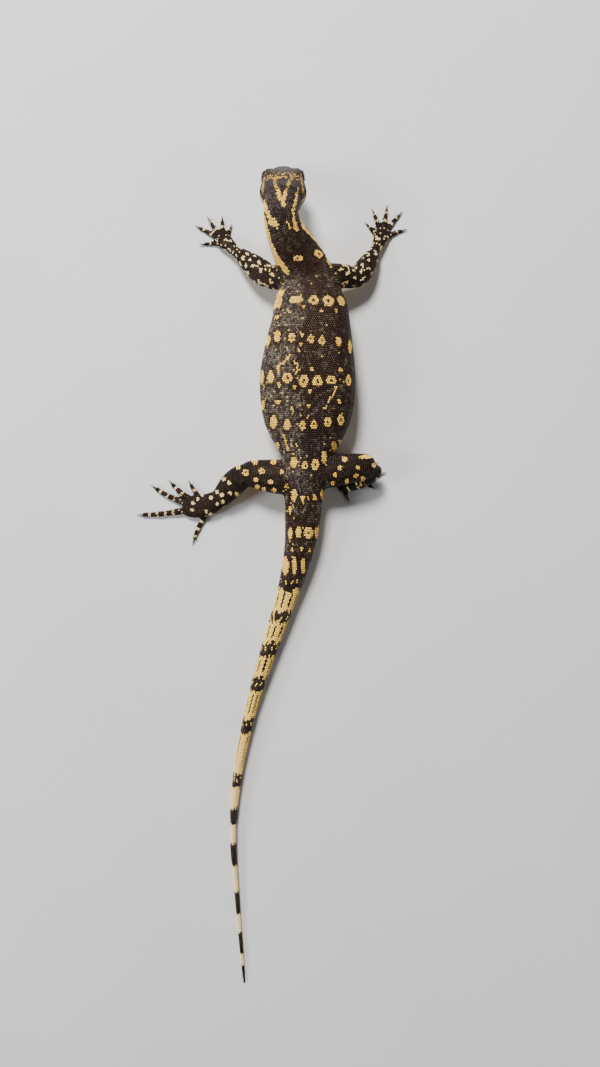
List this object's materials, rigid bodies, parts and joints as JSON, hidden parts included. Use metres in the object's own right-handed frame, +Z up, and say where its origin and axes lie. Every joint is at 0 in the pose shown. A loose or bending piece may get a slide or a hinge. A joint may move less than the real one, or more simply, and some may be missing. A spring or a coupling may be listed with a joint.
{
  "type": "water monitor lizard",
  "caption": "Young water monitor lizard lying on its belly, neck arched and snout lowered, one hind leg stretched out and one folded, long tapering tail in a gentle bend.",
  "frame": {"origin": "centre of the flat under the belly, at floor level", "axes": "-Y towards the head, +Y towards the tail, +X the animal's left side, +Z up"},
  "size_m": [0.1326, 0.3966, 0.0366],
  "materials": {
    "skin": "fine satin scales, blackish brown with pale yellow spots and bands",
    "eye": "wet, glossy, dark brown",
    "claw": "smooth dark horn"
  },
  "bodies": {
    "root": {"head": "skin", "lower_jaw": "skin", "eye_left": "eye", "eye_right": "eye", "neck": "skin", "torso": "skin", "tail_1": "skin", "tail_2": "skin", "tail_3": "skin", "tail_4": "skin", "upper_arm_left": "skin", "forearm_left": "skin", "hand_left": "skin", "thigh_left": "skin", "shank_left": "skin", "foot_left": "skin", "upper_arm_right": "skin", "forearm_right": "skin", "hand_right": "skin", "thigh_right": "skin", "shank_right": "skin", "foot_right": "skin", "claw_hand_left_1": "claw", "claw_hand_left_2": "claw", "claw_hand_left_3": "claw", "claw_hand_left_4": "claw", "claw_hand_left_5": "claw", "claw_hand_right_1": "claw", "claw_hand_right_2": "claw", "claw_hand_right_3": "claw", "claw_hand_right_4": "claw", "claw_hand_right_5": "claw", "claw_foot_left_1": "claw", "claw_foot_left_2": "claw", "claw_foot_left_3": "claw", "claw_foot_left_4": "claw", "claw_foot_left_5": "claw", "claw_foot_right_1": "claw", "claw_foot_right_2": "claw", "claw_foot_right_3": "claw", "claw_foot_right_4": "claw", "claw_foot_right_5": "claw"}
  },
  "joints": []
}
